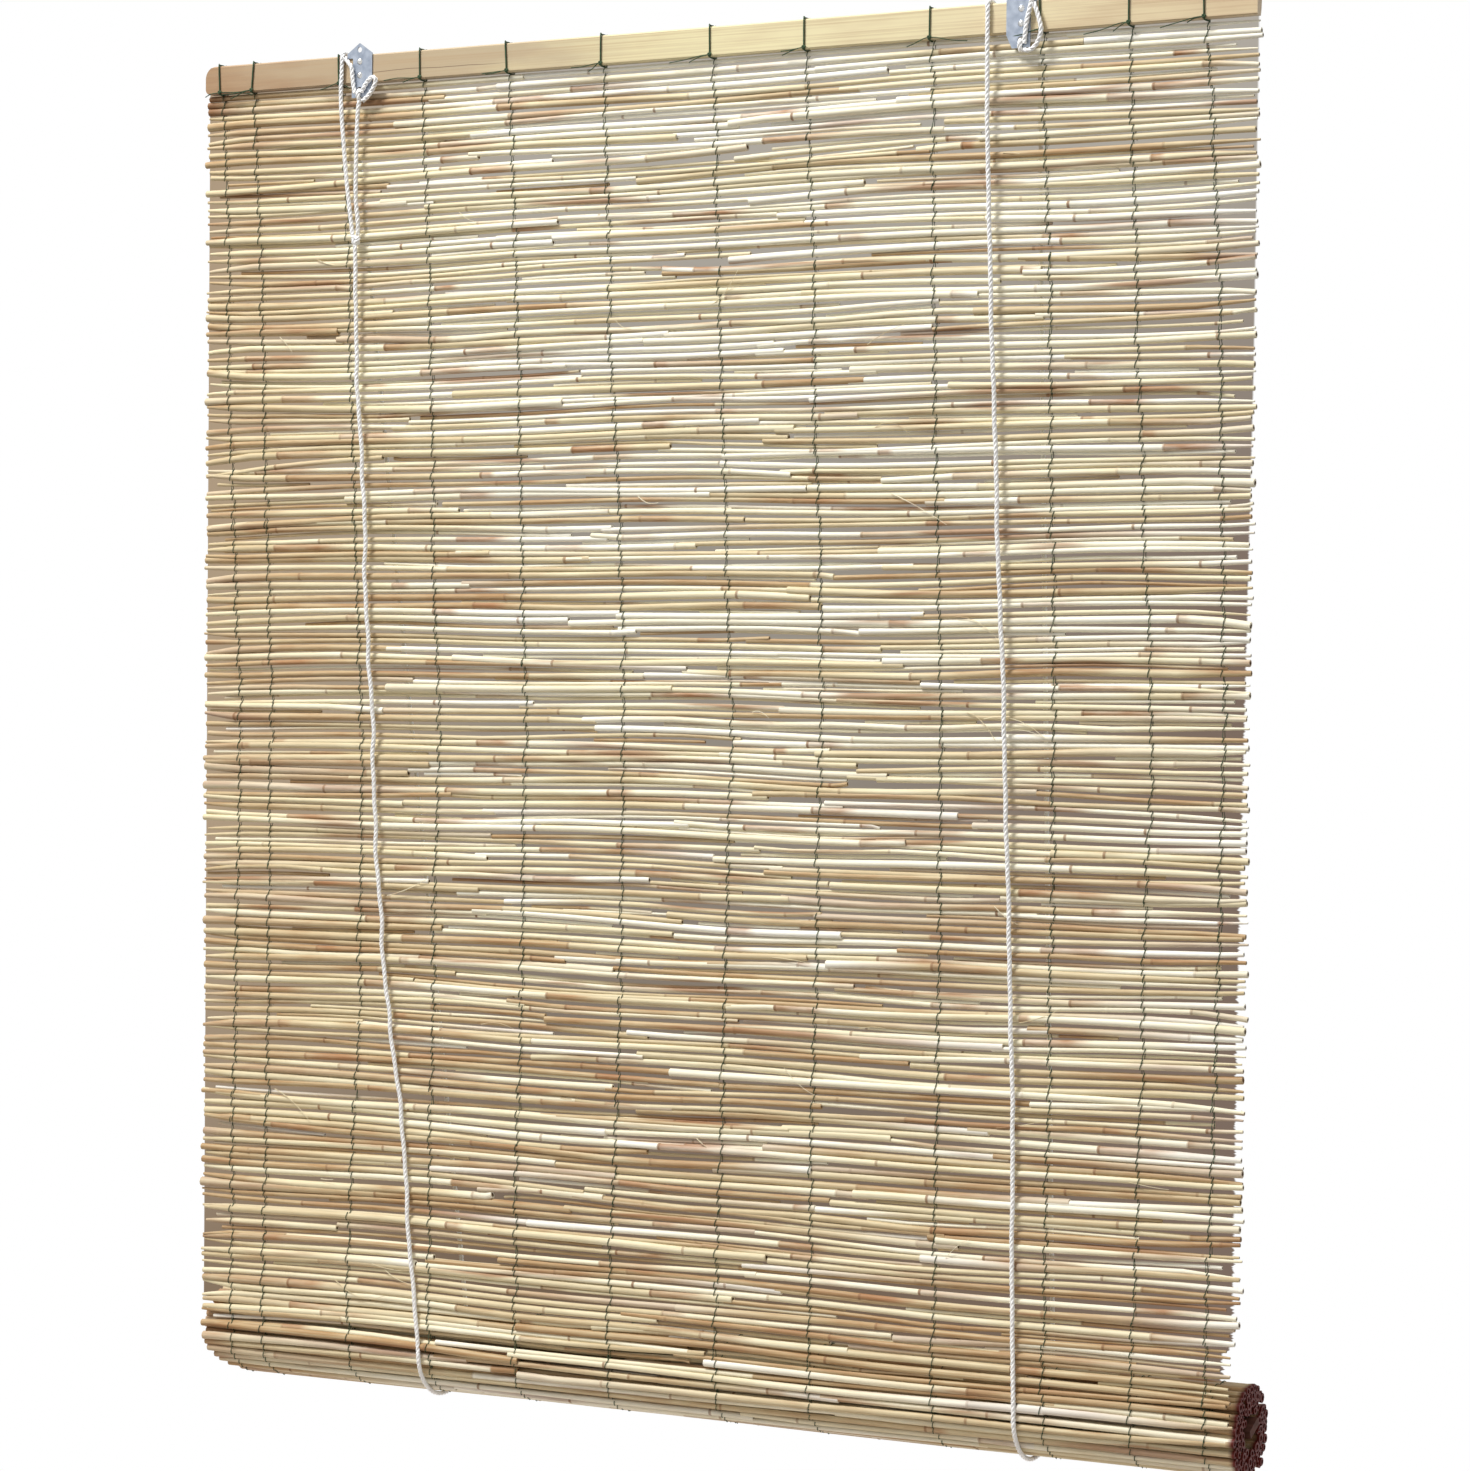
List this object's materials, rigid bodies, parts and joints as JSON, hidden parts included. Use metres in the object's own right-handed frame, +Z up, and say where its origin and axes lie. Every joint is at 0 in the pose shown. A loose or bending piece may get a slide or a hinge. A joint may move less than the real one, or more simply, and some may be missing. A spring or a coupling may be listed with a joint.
{
  "type": "reed roll-up blind",
  "caption": "Window blind of thin reeds twined with green thread, hung from a bamboo rail by two metal hangers, its lower end rolled up in two white cord slings.",
  "frame": {"origin": "midway between the two hanging eyes of the hangers, in the plane of the rail's front face", "axes": "+Z up, +X to the right seen from the front, the front faces -Y"},
  "size_m": [1, 0.0939, 1.1949],
  "materials": {
    "bamboo": "split bamboo, matt, with fine lengthwise fibres",
    "zinc_plate": "zinc plated sheet",
    "screw_steel": "plated screw heads",
    "reed": "dry reed stems, cream to tan, slightly glossy",
    "green_thread": "thin twisted dark green thread",
    "white_cord": "white braided cord"
  },
  "bodies": {
    "head": {"head_rail": "bamboo", "left_hanger": "zinc_plate", "right_hanger": "zinc_plate", "left_hanger_screws": "screw_steel", "right_hanger_screws": "screw_steel", "reed_mat": "reed", "rail_lashing_1": "green_thread", "rail_lashing_2": "green_thread", "rail_lashing_3": "green_thread", "rail_lashing_4": "green_thread", "rail_lashing_5": "green_thread", "rail_lashing_6": "green_thread", "rail_lashing_7": "green_thread", "rail_lashing_8": "green_thread", "rail_lashing_9": "green_thread", "rail_lashing_10": "green_thread", "rail_lashing_11": "green_thread", "rail_lashing_12": "green_thread", "warp_thread_1": "green_thread", "warp_thread_2": "green_thread", "warp_thread_3": "green_thread", "warp_thread_4": "green_thread", "warp_thread_5": "green_thread", "warp_thread_6": "green_thread", "warp_thread_7": "green_thread", "warp_thread_8": "green_thread", "warp_thread_9": "green_thread", "warp_thread_10": "green_thread", "warp_thread_11": "green_thread", "warp_thread_12": "green_thread", "left_cord_upper": "white_cord", "left_cord_lead": "white_cord", "left_cord_bight": "white_cord", "left_cord_tie": "white_cord", "left_cord_hitch": "white_cord", "left_cord_knot": "white_cord", "left_cord_front": "white_cord", "left_cord_back": "white_cord", "right_cord_upper": "white_cord", "right_cord_loop": "white_cord", "right_cord_bight": "white_cord", "right_cord_hitch": "white_cord", "right_cord_knot": "white_cord", "right_cord_front": "white_cord", "right_cord_back": "white_cord"},
    "slings": {"left_cord_sling": "white_cord", "right_cord_sling": "white_cord"},
    "roll": {"reed_roll": "reed", "bottom_batten": "bamboo"}
  },
  "joints": [
    {"name": "roll_lift", "type": "slide", "parent": "head", "child": "slings", "axis": [0, 0, 1], "range_m": [0, 0.94248], "deforming": ["reed_mat", "warp_thread_1", "warp_thread_2", "warp_thread_3", "warp_thread_4", "warp_thread_5", "warp_thread_6", "warp_thread_7", "warp_thread_8", "warp_thread_9", "warp_thread_10", "warp_thread_11", "warp_thread_12", "left_cord_front", "left_cord_back", "right_cord_front", "right_cord_back"]},
    {"name": "roll_spin", "type": "hinge", "parent": "slings", "child": "roll", "pos_m": [0, 0.0443, -1.1452], "axis": [1, 0, 0], "range_deg": [0, 1440]}
  ],
  "couplings": [
    {"joint": "roll_spin", "follows": "roll_lift", "rad_per_m": 26.667}
  ]
}
